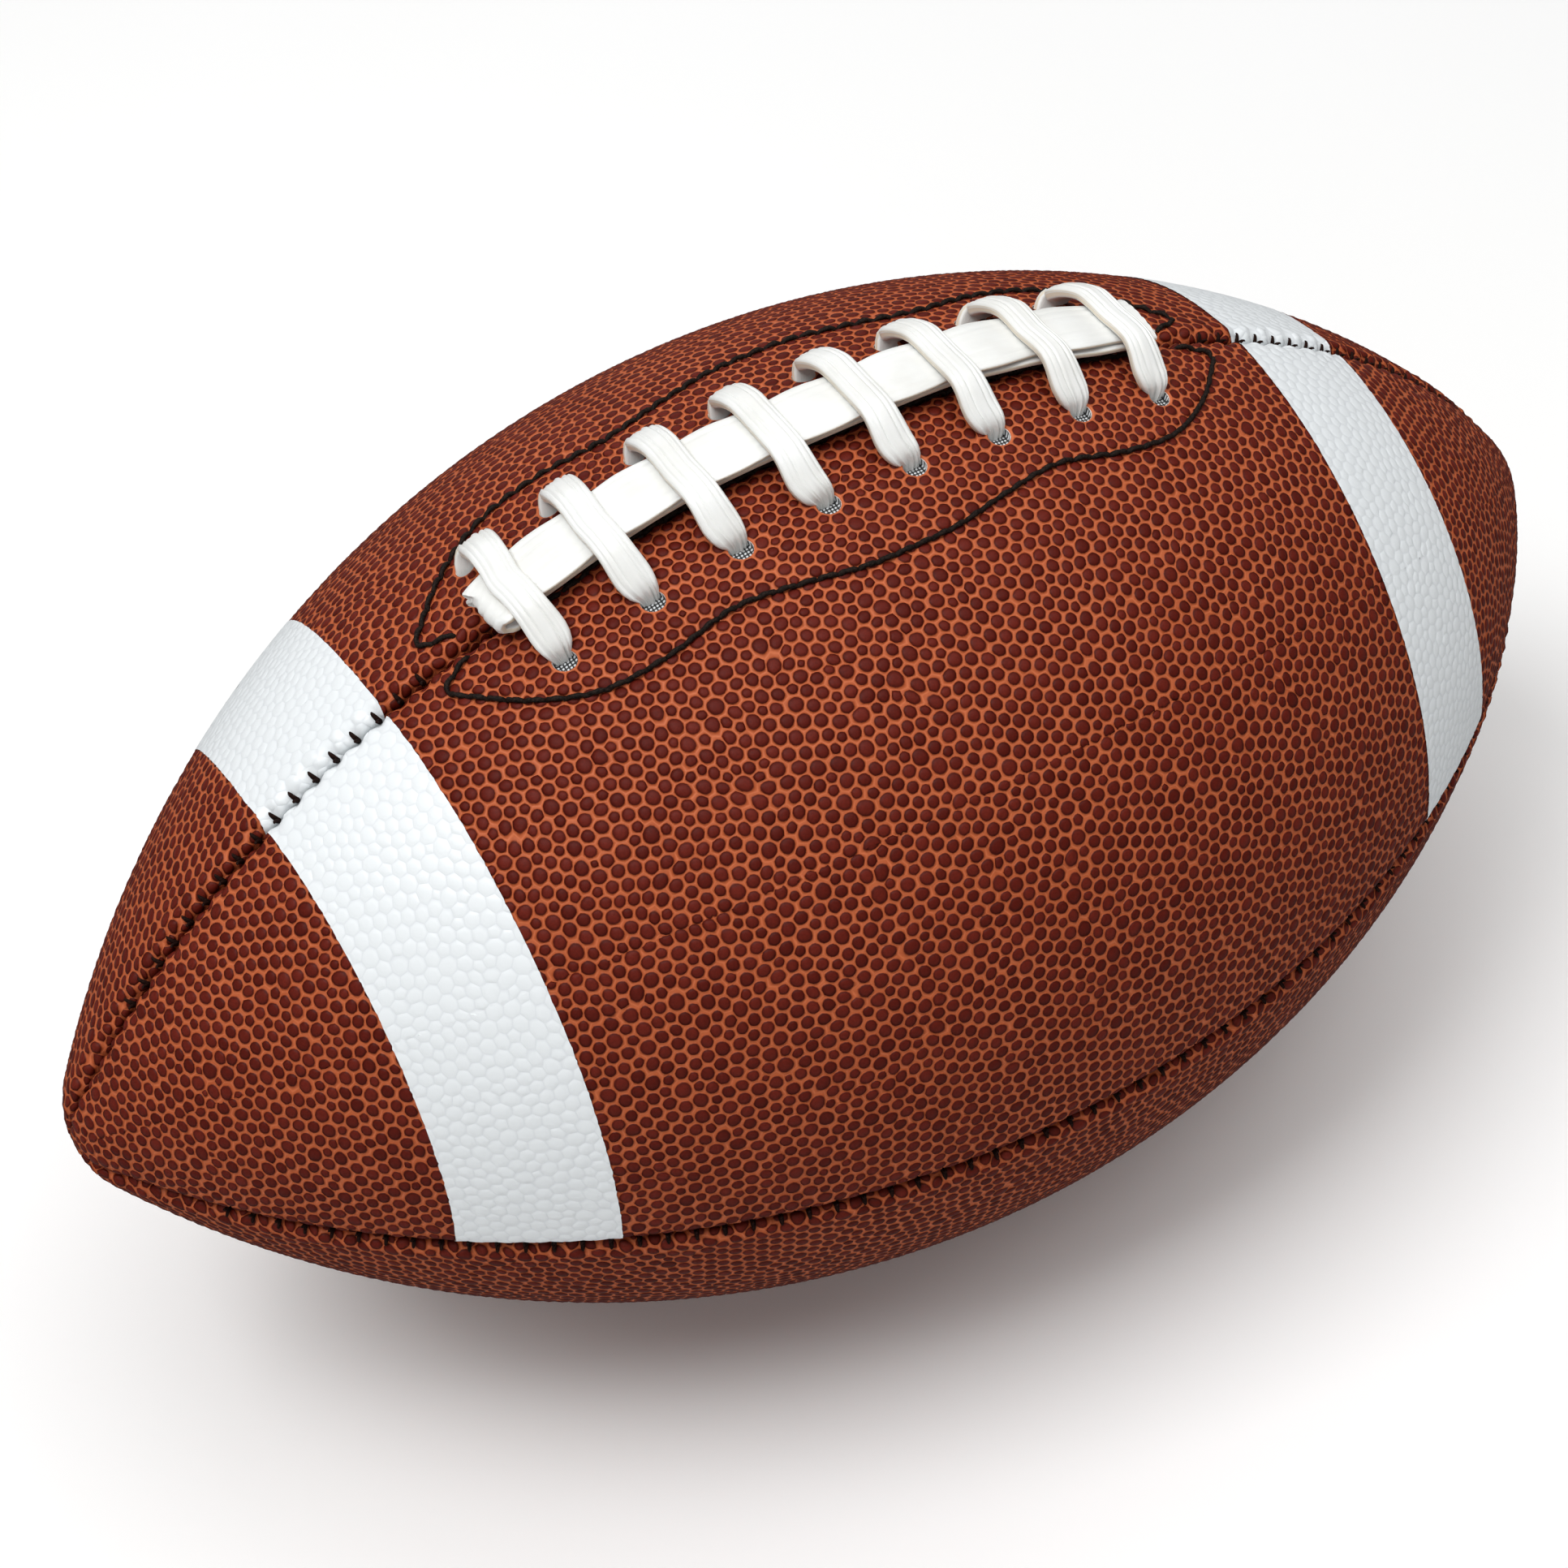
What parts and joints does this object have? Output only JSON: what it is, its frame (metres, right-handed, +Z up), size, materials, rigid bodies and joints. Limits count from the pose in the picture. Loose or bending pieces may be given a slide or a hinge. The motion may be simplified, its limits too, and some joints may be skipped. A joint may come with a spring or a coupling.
{
  "type": "american football",
  "caption": "Laced ball with blunt pointed ends, pebbled brown panels, white laces on top and a white part-stripe near each end.",
  "frame": {"origin": "centre of the bounding box's bottom, where the lower seam touches the ground under the middle of the ball", "axes": "+X along the ball's long axis towards the right tip, +Z up through the lacing, -Y out of the front seam"},
  "size_m": [0.288, 0.162, 0.1688],
  "materials": {
    "cover": "pebbled, dark pebble tops over rust-brown valleys, matte with a slight sheen",
    "lining": "woven cloth, matte",
    "lace_patch": "woven reinforcing cloth, matte",
    "tongue": "coated sheet, matte",
    "lace": "ribbed vinyl, glossy",
    "seam_thread": "waxed thread",
    "surface_thread": "twisted thread, matte",
    "stripe_film": "pressed-on white film that follows the pebbles, satin",
    "bladder": "smooth",
    "valve_rubber": "smooth, matte",
    "plug_rubber": "soft, matte",
    "valve_patch": "woven cloth, matte"
  },
  "bodies": {
    "root": {"cover_panel_upper_front": "cover", "cover_panel_upper_back": "cover", "cover_panel_lower_front": "cover", "cover_panel_lower_back": "cover", "lining_upper_front": "lining", "lining_upper_back": "lining", "lining_lower_front": "lining", "lining_lower_back": "lining", "lace_patch_front": "lace_patch", "lace_patch_back": "lace_patch", "tongue": "tongue", "lace": "lace", "seam_thread_top_left": "seam_thread", "seam_thread_top_right": "seam_thread", "seam_thread_front": "seam_thread", "seam_thread_back": "seam_thread", "seam_thread_bottom": "seam_thread", "outline_stitch_front": "surface_thread", "outline_stitch_back": "surface_thread", "slit_stitch_front": "surface_thread", "slit_stitch_back": "surface_thread", "stripe_left_front": "stripe_film", "stripe_left_back": "stripe_film", "stripe_right_front": "stripe_film", "stripe_right_back": "stripe_film", "bladder": "bladder", "valve_body": "valve_rubber", "valve_plug": "plug_rubber", "valve_patch": "valve_patch"}
  },
  "joints": []
}
